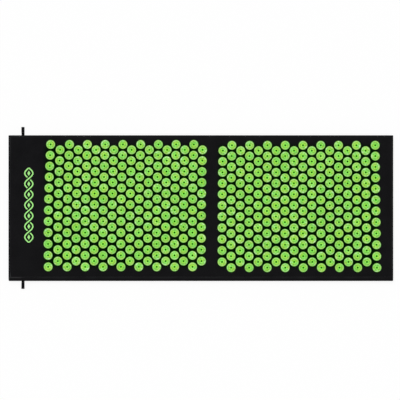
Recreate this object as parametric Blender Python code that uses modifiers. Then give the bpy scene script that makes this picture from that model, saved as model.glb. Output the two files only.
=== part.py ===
# Acupressure mat: a foam slab in a black cloth cover, which folds in half
# across a bare strip, with columns of spiked plastic discs on its top,
# a strap loop on each long edge and a zip in its left end wall.
# Units are metres. +X runs along the mat, +Y across it and +Z up to the spikes.
# The origin is on the floor, under the middle of the mat's outline.

from math import asin, cos, pi, sin

import bmesh
import bpy
from mathutils import Vector

# Mat and cover
MAT_LENGTH = 1.300
MAT_WIDTH = 0.492
MAT_HEIGHT = 0.022            # floor to the top of the cloth
CLOTH_THICKNESS = 0.0008
WALL_INSET = 0.002            # side walls stand this far inside the sewn edge
SHOULDER_RADIUS = 0.006       # where the top turns down into the walls
CLEARANCE = 0.0003            # between pieces that rest on each other
FOLD_OFFSET = 0.037           # fold line, from the middle of the mat towards +X
FOLD_GAP = 0.0006             # between the two halves at the fold line
TIP_CLEARANCE = 0.0005        # spike tips to the fold's axis

# Disc field
LEFT_MARGIN = 0.1345          # mat's end to the middle of the last column, at least
RIGHT_MARGIN = 0.0575
LONG_EDGE_MARGIN = 0.035      # mat's edge to the middle of the end discs, at least
DISC_DIAMETER = 0.031
DISC_HUB_HEIGHT = 0.0016
SPIKE_HEIGHT = 0.0065         # disc underside to the spike tips
SPIKES_ON_DISC = 8
SPIKE_RING_RADIUS = 0.0105
WEB_WIDTH = 0.003             # thin bar that joins the discs of a column
WEB_HEIGHT = 0.0010
NARROW_SECTORS = 2            # of a disc, one towards each neighbour
INNER_COLUMN_TO_FOLD = 0.0347
LEFT_COLUMN_PITCH = 0.03017
RIGHT_COLUMN_PITCH = 0.03033
END_SPREAD = 0.0043           # how far the last columns stand out past the pitch
END_SPREAD_POWER = 16
ROW_PITCH = 0.0376
ROW_CREEP = 0.00012           # rows draw together towards +Y
LEFT_FIELD_SHIFT = 0.0120     # middle disc of a column, from the mat's middle
RIGHT_FIELD_SHIFT = 0.0092

# Lean of the columns, because the cloth was sewn a little askew
LEAN_LENGTH = 0.650
LEAN_WIDTH = 0.207
LEAN_MIDDLE = 0.0021
LEAN_SLOPE = -0.0040
LEAN_CURVE = -0.0016
BOW_MIDDLE = 0.0019
BOW_SLOPE = -0.0016

# Strap loops
LOOP_FROM_END = 0.0478
LOOP_WIDTH = 0.0098
FAR_LOOP_REACH = 0.0289       # past the mat's long edge
NEAR_LOOP_REACH = 0.0277
STRAP_THICKNESS = 0.0010
LOOP_BEND_RADIUS = 0.0035     # at the middle of the strap's thickness
LOOP_ROOT_GAP = 0.0006        # from the sewn edge
LOOP_ROOT_LENGTH = 0.003
LOOP_NECK_LENGTH = 0.011
LOOP_BEND_STEPS = 8
LOOP_NECK_STEPS = 6

# Zip in the left end wall
ZIP_END_MARGIN = 0.026        # mat's long edge to the end of the zip's slot
ZIP_HEIGHT = 0.0085           # middle of the zip, above the floor
ZIP_OPENING = 0.009           # height of the slot in the wall
ZIP_SLIT = 0.0012             # between the two tapes
TAPE_WIDTH = 0.0062
TAPE_THICKNESS = 0.0005
TAPE_OVERLAP = 0.006          # tapes run on past each end of the slot
COIL_WIDTH = 0.0020
COIL_THICKNESS = 0.0010
STOP_LENGTH = 0.0020
SLIDER_LENGTH = 0.009
SLIDER_WIDTH = 0.007
SLIDER_PLATE = 0.0008
NECK_WIDTH = 0.0006
NECK_LENGTH = 0.003
BAIL_WIDTH = 0.0016
BAIL_ROOF = 0.0004
BAIL_END_WALL = 0.0008
BAR_DIAMETER = 0.0007
BAR_CLEARANCE = 0.0002
PULL_LENGTH = 0.022
PULL_WIDTH = 0.006
PULL_THICKNESS = 0.0005
PULL_WINDOW_LENGTH = 0.0036
FOAM_END_CLEARANCE = 0.0003   # foam to the slider's inner plate

# Mesh settings
MERGE_DISTANCE = 0.00001
CUT_OVERRUN = 0.002
SHOULDER_SEGMENTS = 3
BAR_SEGMENTS = 12
SMOOTH_ANGLE = pi / 5

# Sizes that follow
left_end = -MAT_LENGTH / 2
right_end = MAT_LENGTH / 2
half_width = MAT_WIDTH / 2
half_zip = half_width - ZIP_END_MARGIN
cloth_top = MAT_HEIGHT
foam_base = CLOTH_THICKNESS + CLEARANCE
foam_top = MAT_HEIGHT - CLOTH_THICKNESS - CLEARANCE
left_half_end = FOLD_OFFSET - FOLD_GAP / 2
right_half_end = FOLD_OFFSET + FOLD_GAP / 2
wall_outer = left_end + WALL_INSET
wall_inner = wall_outer + CLOTH_THICKNESS
tape_outer = wall_inner + CLEARANCE
tape_inner = tape_outer + TAPE_THICKNESS
coil_inner = tape_outer - CLEARANCE
coil_outer = coil_inner - COIL_THICKNESS
outer_plate_inner = coil_outer - CLEARANCE
outer_plate_outer = outer_plate_inner - SLIDER_PLATE
inner_plate_outer = tape_inner + CLEARANCE
inner_plate_inner = inner_plate_outer + SLIDER_PLATE
bar_radius = BAR_DIAMETER / 2
bar_x = outer_plate_outer - BAR_CLEARANCE - bar_radius
slider_far = half_zip - STOP_LENGTH - CLEARANCE
slider_y = slider_far - SLIDER_LENGTH / 2
spike_tips = cloth_top + CLEARANCE + SPIKE_HEIGHT
fold_axis_height = spike_tips + TIP_CLEARANCE


def clear_scene():
    for item in list(bpy.data.objects):
        bpy.data.objects.remove(item, do_unlink=True)


def new_collection(name):
    collection = bpy.data.collections.new(name)
    bpy.context.scene.collection.children.link(collection)
    return collection


def new_material(name, colour, roughness, metallic=0.0):
    material = bpy.data.materials.new(name)
    material.use_nodes = True
    shader = material.node_tree.nodes["Principled BSDF"]
    shader.inputs["Base Color"].default_value = (*colour, 1.0)
    shader.inputs["Roughness"].default_value = roughness
    shader.inputs["Metallic"].default_value = metallic
    return material


def new_empty(name, place, collection):
    empty = bpy.data.objects.new(name, None)
    empty.location = place
    collection.objects.link(empty)
    return empty


def new_object(name, bm, collection, material=None, carrier=None):
    """Make an object from a bmesh in world places, with its origin on its carrier's."""
    bmesh.ops.recalc_face_normals(bm, faces=bm.faces)
    if carrier:
        bmesh.ops.translate(bm, verts=bm.verts, vec=-carrier.location)
    mesh = bpy.data.meshes.new(name)
    bm.to_mesh(mesh)
    bm.free()
    item = bpy.data.objects.new(name, mesh)
    item.parent = carrier
    collection.objects.link(item)
    if material:
        mesh.materials.append(material)
    return item


def smooth_round_faces(item):
    item.data.shade_smooth()
    item.data.set_sharp_from_angle(angle=SMOOTH_ANGLE)


def add_box(bm, low, high):
    """Add a box between two corners, and return its vertices."""
    low, high = Vector(low), Vector(high)
    verts = bmesh.ops.create_cube(bm, size=1.0)["verts"]
    bmesh.ops.scale(bm, vec=high - low, verts=verts)
    bmesh.ops.translate(bm, vec=(low + high) / 2, verts=verts)
    return verts


def box_object(name, low, high, collection, material=None, carrier=None):
    bm = bmesh.new()
    add_box(bm, low, high)
    return new_object(name, bm, collection, material, carrier)


def cutter_box(name, low, high, cutters, carrier=None):
    cutter = box_object(name, low, high, cutters, carrier=carrier)
    cutter.hide_render = True
    cutter.display_type = "WIRE"
    return cutter


def add_boolean(item, cutter, operation):
    modifier = item.modifiers.new(cutter.name, "BOOLEAN")
    modifier.operation = operation
    modifier.solver = "EXACT"
    modifier.object = cutter


def rounded_block(low, high, radius, fold_side):
    """A box with round top edges and upright corners, but sharp at its base and the fold."""
    bm = bmesh.new()
    add_box(bm, low, high)
    fold_x = high[0] if fold_side > 0 else low[0]
    rounded = []
    for edge in bm.edges:
        at_fold = all(abs(v.co.x - fold_x) < MERGE_DISTANCE for v in edge.verts)
        at_base = all(abs(v.co.z - low[2]) < MERGE_DISTANCE for v in edge.verts)
        if not at_fold and not at_base:
            rounded.append(edge)
    bmesh.ops.bevel(bm, geom=rounded, offset=radius, offset_type="OFFSET",
                    segments=SHOULDER_SEGMENTS, profile=0.5, affect="EDGES")
    return bm


def make_foam_pad(name, low_x, high_x, fold_side, mat, material, carrier):
    side = WALL_INSET + CLOTH_THICKNESS + CLEARANCE
    low = (low_x, -half_width + side, foam_base)
    high = (high_x, half_width - side, foam_top)
    radius = SHOULDER_RADIUS - CLOTH_THICKNESS - CLEARANCE
    bm = rounded_block(low, high, radius, fold_side)
    pad = new_object(name, bm, mat, material, carrier)
    smooth_round_faces(pad)
    return pad


def make_top_cloth(name, low_x, high_x, fold_side, mat, material, carrier):
    """A tray of cloth, upside down, open below and at the fold."""
    low = (low_x, -half_width + WALL_INSET, foam_base)
    high = (high_x, half_width - WALL_INSET, cloth_top)
    bm = rounded_block(low, high, SHOULDER_RADIUS, fold_side)
    open_faces = [
        face for face in bm.faces
        if face.normal.z < -0.9 or face.normal.x * fold_side > 0.9
    ]
    bmesh.ops.delete(bm, geom=open_faces, context="FACES")
    cloth = new_object(name, bm, mat, material, carrier)
    wall = cloth.modifiers.new("cloth_wall", "SOLIDIFY")
    wall.thickness = CLOTH_THICKNESS
    wall.offset = -1.0
    wall.use_even_offset = True
    smooth_round_faces(cloth)
    return cloth


def make_bottom_cloth(name, low_x, high_x, mat, material, carrier):
    low = (low_x, -half_width, 0)
    high = (high_x, half_width, CLOTH_THICKNESS)
    return box_object(name, low, high, mat, material, carrier)


def last_column(side):
    """How many columns follow the first one beside the fold, on one side of it."""
    pitch = LEFT_COLUMN_PITCH if side < 0 else RIGHT_COLUMN_PITCH
    margin = LEFT_MARGIN if side < 0 else RIGHT_MARGIN
    room = MAT_LENGTH / 2 - side * FOLD_OFFSET - INNER_COLUMN_TO_FOLD - margin
    return int(room / pitch)


def discs_in_column(column):
    """The first column beside the fold is a short one, and every other one after it."""
    long_count = int((MAT_WIDTH - 2 * LONG_EDGE_MARGIN) / ROW_PITCH) + 1
    return long_count - 1 if column % 2 == 0 else long_count


def disc_place(side, column, row):
    """Middle of a disc: column counts from the fold, row from the -Y edge."""
    pitch = LEFT_COLUMN_PITCH if side < 0 else RIGHT_COLUMN_PITCH
    shift = LEFT_FIELD_SHIFT if side < 0 else RIGHT_FIELD_SHIFT
    last = last_column(side)
    spread = END_SPREAD * (column / last) ** END_SPREAD_POWER
    x = FOLD_OFFSET + side * (INNER_COLUMN_TO_FOLD + pitch * column + spread)
    steps = row - (discs_in_column(column) - 1) / 2
    y = shift + ROW_PITCH * steps - ROW_CREEP * steps ** 2
    along = x / LEAN_LENGTH
    across = (y - (LEFT_FIELD_SHIFT + RIGHT_FIELD_SHIFT) / 2) / LEAN_WIDTH
    lean = LEAN_MIDDLE + LEAN_SLOPE * along + LEAN_CURVE * along ** 2
    bow = BOW_MIDDLE + BOW_SLOPE * along
    return Vector((x + lean * across + bow * across ** 2, y, cloth_top + CLEARANCE))


def rim_angles():
    """Angles of a disc's corners: two narrow sides face along Y, for the webs."""
    narrow = 2 * asin(WEB_WIDTH / DISC_DIAMETER)
    per_side = SPIKES_ON_DISC // 2
    wide = (pi - narrow) / per_side
    first = -pi / 2 + narrow / 2
    right = [first + wide * k for k in range(per_side + 1)]
    return right + [angle + pi for angle in right]


def add_disc(bm, place):
    """A flat disc whose top rises into a ring of spikes round a low hub."""
    angles = rim_angles()
    radius = DISC_DIAMETER / 2
    ends = {}
    base = bmesh.ops.create_circle(bm, cap_ends=True, segments=len(angles), radius=radius)
    top = bmesh.ops.create_circle(bm, cap_ends=True, segments=len(angles), radius=radius)
    for ring in (base["verts"], top["verts"]):
        for vert, angle in zip(ring, angles):
            vert.co = place + radius * Vector((cos(angle), sin(angle), 0))
    hub_face = top["verts"][0].link_faces[0]
    hub = bmesh.ops.poke(bm, faces=[hub_face])
    hub["verts"][0].co.z = place.z + DISC_HUB_HEIGHT
    sectors = sorted(hub["faces"], key=lambda f: abs(f.calc_center_median().x - place.x))
    for number, sector in enumerate(sectors):
        rim = [v.co for v in sector.verts if v is not hub["verts"][0]]
        outward = ((rim[0] + rim[1]) / 2 - place).normalized()
        tip = bmesh.ops.poke(bm, faces=[sector])["verts"][0]
        if number < NARROW_SECTORS:
            tip.co = place + outward * (radius - WEB_WIDTH)
            tip.co.z = place.z + WEB_HEIGHT
            ends[1 if outward.y > 0 else -1] = tip
        else:
            tip.co = place + outward * SPIKE_RING_RADIUS
            tip.co.z = place.z + SPIKE_HEIGHT
    return base["verts"] + top["verts"], ends


def make_disc_column(name, places, mat, material, carrier):
    bm = bmesh.new()
    rims, tips = [], []
    for place in places:
        rim, ends = add_disc(bm, place)
        rims += rim
        tips.append(ends)
    bmesh.ops.remove_doubles(bm, verts=rims, dist=MERGE_DISTANCE)
    for near, far in zip(tips, tips[1:]):
        edges = []
        for tip, way in ((near[1], 1), (far[-1], -1)):
            face = max(tip.link_faces, key=lambda f: way * f.calc_center_median().y)
            edges += list(face.edges)
            bmesh.ops.delete(bm, geom=[face], context="FACES_ONLY")
        bmesh.ops.bridge_loops(bm, edges=edges)
    return new_object(name, bm, mat, material, carrier)


def loop_path(reach):
    """Middle line of a strap loop as (distance from its root, height)."""
    half = STRAP_THICKNESS / 2
    rise = 2 * LOOP_BEND_RADIUS - STRAP_THICKNESS - CLEARANCE
    bend = reach - LOOP_ROOT_GAP - half - LOOP_BEND_RADIUS
    points = [(0, half), (LOOP_ROOT_LENGTH, half)]
    for k in range(LOOP_BEND_STEPS + 1):
        angle = -pi / 2 + pi * k / LOOP_BEND_STEPS
        out = bend + LOOP_BEND_RADIUS * cos(angle)
        points.append((out, half + LOOP_BEND_RADIUS * (1 + sin(angle))))
    for k in range(LOOP_NECK_STEPS + 1):
        share = k / LOOP_NECK_STEPS
        out = LOOP_ROOT_LENGTH + LOOP_NECK_LENGTH * (1 - share)
        points.append((out, half + 2 * LOOP_BEND_RADIUS - rise * (1 - cos(pi * share)) / 2))
    points.append((0, half + 2 * LOOP_BEND_RADIUS - rise))
    return points


def make_strap_loop(name, side, reach, mat, material, carrier):
    """A strap folded back on itself, with an open eye at its end."""
    x = left_end + LOOP_FROM_END - LOOP_WIDTH / 2
    bm = bmesh.new()
    verts = []
    for out, height in loop_path(reach):
        y = side * (half_width + LOOP_ROOT_GAP + out)
        verts.append(bm.verts.new((x, y, height)))
    edges = [bm.edges.new(pair) for pair in zip(verts, verts[1:])]
    strip = bmesh.ops.extrude_edge_only(bm, edges=edges)["geom"]
    moved = [part for part in strip if isinstance(part, bmesh.types.BMVert)]
    bmesh.ops.translate(bm, verts=moved, vec=(LOOP_WIDTH, 0, 0))
    loop = new_object(name, bm, mat, material, carrier)
    thickness = loop.modifiers.new("strap", "SOLIDIFY")
    thickness.thickness = STRAP_THICKNESS
    thickness.offset = 0
    thickness.use_even_offset = True
    smooth_round_faces(loop)
    return loop


def cut_zip_slot(cloth, cutters):
    low = (wall_outer - CUT_OVERRUN, -half_zip, ZIP_HEIGHT - ZIP_OPENING / 2)
    high = (wall_inner + CUT_OVERRUN, half_zip, ZIP_HEIGHT + ZIP_OPENING / 2)
    add_boolean(cloth, cutter_box("zip_slot_cutter", low, high, cutters), "DIFFERENCE")


def make_zip_rows(mat, tape_material, coil_material):
    """The two tapes behind the slot, each with its row of coil on the outside."""
    coil_end = half_zip - STOP_LENGTH - 2 * CLEARANCE
    tape_end = half_zip + TAPE_OVERLAP
    for name, way in (("upper", 1), ("lower", -1)):
        inner = ZIP_HEIGHT + way * ZIP_SLIT / 2
        tape_edge = sorted((inner, inner + way * TAPE_WIDTH))
        coil_edge = sorted((inner, inner + way * COIL_WIDTH))
        box_object("zip_tape_" + name, (tape_outer, -tape_end, tape_edge[0]),
                   (tape_inner, tape_end, tape_edge[1]), mat, tape_material)
        box_object("zip_coil_" + name, (coil_outer, -coil_end, coil_edge[0]),
                   (coil_inner, coil_end, coil_edge[1]), mat, coil_material)


def make_zip_stops(mat, material):
    half = ZIP_SLIT / 2 + COIL_WIDTH
    for name, way in (("far", 1), ("near", -1)):
        ends = sorted((way * half_zip, way * (half_zip - STOP_LENGTH)))
        low = (coil_outer, ends[0] + CLEARANCE, ZIP_HEIGHT - half)
        high = (coil_inner, ends[1] - CLEARANCE, ZIP_HEIGHT + half)
        box_object("zip_stop_" + name, low, high, mat, material)


def make_slider(mat, cutters, material, carrier):
    """Two plates joined by a neck through the slit, with a bail for the pull."""
    y0, y1 = slider_y - SLIDER_LENGTH / 2, slider_y + SLIDER_LENGTH / 2
    z0, z1 = ZIP_HEIGHT - SLIDER_WIDTH / 2, ZIP_HEIGHT + SLIDER_WIDTH / 2
    slider = box_object("zip_slider", (outer_plate_outer, y0, z0),
                        (outer_plate_inner, y1, z1), mat, material, carrier)
    inner = cutter_box("slider_inner_plate", (inner_plate_outer, y0, z0),
                       (inner_plate_inner, y1, z1), cutters, carrier)
    neck = cutter_box("slider_neck",
                      (outer_plate_outer + SLIDER_PLATE / 2, y1 - NECK_LENGTH,
                       ZIP_HEIGHT - NECK_WIDTH / 2),
                      (inner_plate_inner - SLIDER_PLATE / 2, y1 - NECK_LENGTH / 4,
                       ZIP_HEIGHT + NECK_WIDTH / 2), cutters, carrier)
    reach = bar_radius + BAR_CLEARANCE
    bail_end = reach + BAIL_END_WALL
    bail = cutter_box("slider_bail",
                      (bar_x - reach - BAIL_ROOF, slider_y - bail_end,
                       ZIP_HEIGHT - BAIL_WIDTH / 2),
                      (outer_plate_outer + SLIDER_PLATE / 2, slider_y + bail_end,
                       ZIP_HEIGHT + BAIL_WIDTH / 2), cutters, carrier)
    eye = cutter_box("slider_bail_eye",
                     (bar_x - reach, slider_y - reach, ZIP_HEIGHT - BAIL_WIDTH),
                     (outer_plate_outer, slider_y + reach, ZIP_HEIGHT + BAIL_WIDTH),
                     cutters, carrier)
    for piece in (inner, neck, bail):
        add_boolean(slider, piece, "UNION")
    add_boolean(slider, eye, "DIFFERENCE")
    return slider


def make_pull(mat, cutters, material, carrier):
    """A flat tab with a window for the bail and a bar across the window's end."""
    half = PULL_THICKNESS / 2
    window = BAIL_WIDTH / 2 + CLEARANCE
    pull = box_object("zip_pull", (bar_x - half, slider_y - PULL_LENGTH, ZIP_HEIGHT - PULL_WIDTH / 2),
                      (bar_x + half, slider_y, ZIP_HEIGHT + PULL_WIDTH / 2), mat, material, carrier)
    slot = cutter_box("pull_window",
                      (bar_x - CUT_OVERRUN, slider_y - PULL_WINDOW_LENGTH, ZIP_HEIGHT - window),
                      (bar_x + CUT_OVERRUN, slider_y + CUT_OVERRUN, ZIP_HEIGHT + window),
                      cutters, carrier)
    bm = bmesh.new()
    bmesh.ops.create_cone(bm, cap_ends=True, segments=BAR_SEGMENTS, radius1=bar_radius,
                          radius2=bar_radius, depth=PULL_WIDTH)
    bmesh.ops.translate(bm, verts=bm.verts, vec=(bar_x, slider_y, ZIP_HEIGHT))
    bar = new_object("pull_bar", bm, cutters, carrier=carrier)
    bar.hide_render = True
    bar.display_type = "WIRE"
    add_boolean(pull, slot, "DIFFERENCE")
    add_boolean(pull, bar, "UNION")
    return pull


def main():
    clear_scene()
    mat = new_collection("acupressure_mat")
    cutters = new_collection("cutters")

    cloth = new_material("black_cloth", (0.009, 0.009, 0.010), 0.9)
    foam = new_material("pale_foam", (0.70, 0.68, 0.58), 0.95)
    plastic = new_material("green_plastic", (0.26, 0.66, 0.10), 0.38)
    strap = new_material("black_strap", (0.012, 0.012, 0.013), 0.85)
    tape = new_material("zip_tape", (0.010, 0.010, 0.011), 0.9)
    nylon = new_material("zip_nylon", (0.014, 0.014, 0.015), 0.4)
    steel = new_material("black_metal", (0.03, 0.03, 0.032), 0.35, 0.8)

    right_half = new_empty("right_half", (FOLD_OFFSET, 0, fold_axis_height), mat)
    slider_carrier = new_empty("slider_carrier", (bar_x, slider_y, ZIP_HEIGHT), mat)

    foam_left = inner_plate_inner + FOAM_END_CLEARANCE
    foam_right = right_end - WALL_INSET - CLOTH_THICKNESS - CLEARANCE
    wall_right = right_end - WALL_INSET
    make_foam_pad("foam_pad_left", foam_left, left_half_end, 1, mat, foam, None)
    make_foam_pad("foam_pad_right", right_half_end, foam_right, -1, mat, foam, right_half)
    top_left = make_top_cloth("top_cloth_left", wall_outer, left_half_end, 1, mat, cloth, None)
    make_top_cloth("top_cloth_right", right_half_end, wall_right, -1, mat, cloth, right_half)
    make_bottom_cloth("bottom_cloth_left", left_end, left_half_end, mat, cloth, None)
    make_bottom_cloth("bottom_cloth_right", right_half_end, right_end, mat, cloth, right_half)

    number = 0
    for side in (-1, 1):
        order = range(last_column(side) + 1)
        for column in reversed(order) if side < 0 else order:
            number += 1
            rows = range(discs_in_column(column))
            places = [disc_place(side, column, row) for row in rows]
            make_disc_column(f"disc_column_{number:02d}", places, mat, plastic,
                             None if side < 0 else right_half)

    loop_x = left_end + LOOP_FROM_END
    for name, side, reach in (("far", 1, FAR_LOOP_REACH), ("near", -1, NEAR_LOOP_REACH)):
        root = (loop_x, side * (half_width + LOOP_ROOT_GAP), STRAP_THICKNESS)
        carrier = new_empty(name + "_loop_hinge", root, mat)
        make_strap_loop("strap_loop_" + name, side, reach, mat, strap, carrier)

    cut_zip_slot(top_left, cutters)
    make_zip_rows(mat, tape, nylon)
    make_zip_stops(mat, steel)
    make_slider(mat, cutters, steel, slider_carrier)
    make_pull(mat, cutters, steel, slider_carrier)


main()
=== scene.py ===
import bpy
import numpy as np
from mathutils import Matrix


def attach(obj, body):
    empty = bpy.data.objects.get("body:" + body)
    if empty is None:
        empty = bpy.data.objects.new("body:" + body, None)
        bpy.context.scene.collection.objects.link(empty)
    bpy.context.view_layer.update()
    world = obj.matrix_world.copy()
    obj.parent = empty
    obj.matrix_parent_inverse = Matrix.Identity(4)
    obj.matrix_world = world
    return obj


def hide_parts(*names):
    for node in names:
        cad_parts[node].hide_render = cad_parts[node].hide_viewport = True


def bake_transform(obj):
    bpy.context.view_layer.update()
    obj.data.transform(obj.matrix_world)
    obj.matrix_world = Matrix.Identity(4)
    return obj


# Acupressure mat: the looks of its cover, foam, spiked discs, straps and zip.
# Shapes are worked out in millimetres, +X along the mat, +Y across it, +Z up.
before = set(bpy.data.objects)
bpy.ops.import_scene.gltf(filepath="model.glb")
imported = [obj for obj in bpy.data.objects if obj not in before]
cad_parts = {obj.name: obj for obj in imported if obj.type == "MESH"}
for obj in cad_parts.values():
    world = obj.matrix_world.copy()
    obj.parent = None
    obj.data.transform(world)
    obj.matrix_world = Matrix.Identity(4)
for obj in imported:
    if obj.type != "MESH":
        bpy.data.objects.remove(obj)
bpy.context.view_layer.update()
bpy.context.scene.view_settings.view_transform = "Standard"
tau = 2 * np.pi
print("frame loaded")


def smooth(low, high, value):
    # 0 below low, 1 above high, and an S-shaped rise 3t^2 - 2t^3 between them
    share = np.clip((value - low) / (high - low), 0, 1)
    return share * share * (3 - 2 * share)


def plateau(value, start, full, until, end):
    # 1 from full to until, with an S-shaped rise from start before it and a fall to end after it
    return smooth(start, full, value) * smooth(end, until, value)


def bump(value, middle, width):
    # A bell of height 1 round the middle: exp(-((value - middle) / width)^2)
    return np.exp(-((value - middle) / width) ** 2)


def waves(x, y, length, count, seed):
    # Soft unevenness, mostly from -1 to 1: the mean of a few sines that run in many directions
    draw = np.random.default_rng(seed)
    angle = draw.uniform(0, tau, count)
    turns = tau / (length * draw.uniform(0.6, 1.7, count))
    start = draw.uniform(0, tau, count)
    along = x[..., None] * np.cos(angle) + y[..., None] * np.sin(angle)
    return np.sin(along * turns + start).sum(-1) / np.sqrt(count)


def circle(angle):
    # Points of the unit circle: the cosine and the sine of each angle
    return np.stack([np.cos(angle), np.sin(angle)], -1)


def signedPower(value, power):
    # |value|^power, with the sign of the value
    return np.sign(value) * np.abs(value) ** power


def unit(vectors):
    # Vectors over their own lengths
    return vectors / np.linalg.norm(vectors, axis=-1, keepdims=True)


def spaced(low, high, step):
    # Even places from low to high, about a step apart
    return np.linspace(low, high, max(int(round((high - low) / step)), 1) + 1)


def rectangle(low, high, z):
    # The corners of a level rectangle, in turn
    (x0, y0), (x1, y1) = low, high
    return np.array([[x0, y0, z], [x1, y0, z], [x1, y1, z], [x0, y1, z]])


def gridFaces(rows, columns, ringRows=False, ringColumns=False):
    # Quads between neighbours of a grid that is numbered row by row
    i, j = np.meshgrid(np.arange(rows - (not ringRows)),
                       np.arange(columns - (not ringColumns)), indexing="ij")
    nextI, nextJ = (i + 1) % rows, (j + 1) % columns
    corners = [i * columns + j, nextI * columns + j, nextI * columns + nextJ, i * columns + nextJ]
    return np.stack(corners, -1).reshape(-1, 4)


def tubeFaces(rows, columns, flipped=False):
    # Quads between the rings of a tube, one a row, and a cap at each end
    caps = np.array([np.arange(columns)[::-1], np.arange(columns) + columns * (rows - 1)])
    faceSets = [gridFaces(rows, columns, ringColumns=True)[:, ::-1], caps]
    return [faces[:, ::-1] for faces in faceSets] if flipped else faceSets


def border(shape):
    # True for the outermost points of a grid
    ring = np.ones(shape, bool)
    ring[1:-1, 1:-1] = False
    return ring


def closedSheet(upper, lower):
    # Two grids of points, one over the other, that share the upper one's border. used says which
    # points of the two are left, counted through the upper grid and then the lower
    inside = ~border(upper.shape[:2]).reshape(-1)
    below = np.arange(inside.size) + inside.size * inside
    faces = gridFaces(*upper.shape[:2])
    faces = np.concatenate([faces, below[faces][:, ::-1]])
    used, inverse = np.unique(faces, return_inverse=True)
    points = np.concatenate([upper.reshape(-1, 3), lower.reshape(-1, 3)])
    return points[used], inverse.reshape(-1, 4), used


def copied(faceSets, count, size):
    # The faces of count copies of a shape that has size points
    steps = np.arange(count)[:, None, None] * size
    return [(faces[None] + steps).reshape(-1, faces.shape[1]) for faces in faceSets]


def repeated(points, faceSets, places, turns):
    # Copies of one shape: each is turned about Z and moved to its place, as whole arrays
    c, s = np.cos(turns)[:, None], np.sin(turns)[:, None]
    x, y, z = points.T
    turned = np.stack([x * c - y * s, x * s + y * c, np.broadcast_to(z, (len(places), len(z)))], -1)
    moved = (turned + places[:, None, :]).reshape(-1, 3)
    return moved, copied(faceSets, len(places), len(points))


def joined(parts):
    # Several (points, faceSets) as one
    start, points, faceSets = 0, [], []
    for partPoints, partFaces in parts:
        faceSets += [faces + start for faces in partFaces]
        points.append(partPoints)
        start += len(partPoints)
    return np.concatenate(points), faceSets


def placed(name, data):
    # A new object of the scene
    thing = bpy.data.objects.new(name, data)
    bpy.context.scene.collection.objects.link(thing)
    return thing


def makePiece(name, points, faceSets, finish, values=None, flatMap=None, sharpAngle=35):
    # faceSets are arrays with one face a row; values are numbers a point, flatMap its cloth place
    mesh = bpy.data.meshes.new(name)
    corners = np.concatenate([faces.ravel() for faces in faceSets]).astype(np.int32)
    sides = np.concatenate([np.full(len(faces), faces.shape[1]) for faces in faceSets])
    mesh.vertices.add(len(points))
    mesh.vertices.foreach_set("co", (points * 0.001).astype(np.float32).ravel())
    mesh.loops.add(len(corners))
    mesh.loops.foreach_set("vertex_index", corners)
    mesh.polygons.add(len(sides))
    mesh.polygons.foreach_set("loop_start", (np.cumsum(sides) - sides).astype(np.int32))
    for key, numbers in (values or {}).items():
        mesh.attributes.new(key, "FLOAT", "POINT").data.foreach_set("value", numbers.astype(np.float32))
    if flatMap is not None:
        layer = mesh.uv_layers.new(name="clothMap")
        layer.data.foreach_set("uv", (flatMap[corners] * 0.001).astype(np.float32).ravel())
    mesh.update(calc_edges=True)
    mesh.validate()
    mesh.shade_smooth()
    mesh.set_sharp_from_angle(angle=np.radians(sharpAngle))
    mesh.materials.append(finish)
    return placed(name, mesh)


class Value:
    # A socket of a shader tree; sums and products of these add the Math nodes
    def __init__(self, shades, socket):
        self.shades, self.socket = shades, socket

    def maths(self, operation, *others):
        return self.shades.node("Math", {"operation": operation}, dict(enumerate((self, *others))))

    def __add__(self, other):
        return self.maths("ADD", other)

    def __mul__(self, other):
        return self.maths("MULTIPLY", other)

    def __sub__(self, other):
        return self.maths("SUBTRACT", other)

    def __rsub__(self, other):
        return self.shades.node("Math", {"operation": "SUBTRACT"}, {0: other, 1: self})

    __radd__, __rmul__ = __add__, __mul__

    def sine(self):
        return self.maths("SINE")

    def between(self, low, high):
        # 0 below low, 1 above high, smooth between
        kinds = {"interpolation_type": "SMOOTHSTEP"}
        return self.shades.node("MapRange", kinds, {"Value": self, "From Min": low, "From Max": high})


class Shades:
    # The shader tree of a material or a world
    def __init__(self, owner):
        owner.use_nodes = True
        self.tree = owner.node_tree

    def feed(self, node, inputs):
        # Links and plain values into a node's sockets
        for key, value in inputs.items():
            socket = node.inputs[key]
            if isinstance(value, Value):
                self.tree.links.new(value.socket, socket)
            else:
                socket.default_value = (*value, 1) if socket.type == "RGBA" else value

    def node(self, kind, settings=None, inputs=None, output=0):
        # A node of one type: its settings first, then the values or links of its sockets
        made = self.tree.nodes.new("ShaderNode" + kind)
        for key, value in (settings or {}).items():
            if key == "stops":
                self.setStops(made.color_ramp.elements, value)
            else:
                setattr(made, key, value)
        self.feed(made, inputs or {})
        return Value(self, made.outputs[output]) if len(made.outputs) else made

    def setStops(self, elements, stops):
        while len(elements) < len(stops):
            elements.new(0.5)
        for element, (place, colour) in zip(elements, stops):
            element.position = place
            element.color = (*colour, 1)


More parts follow.
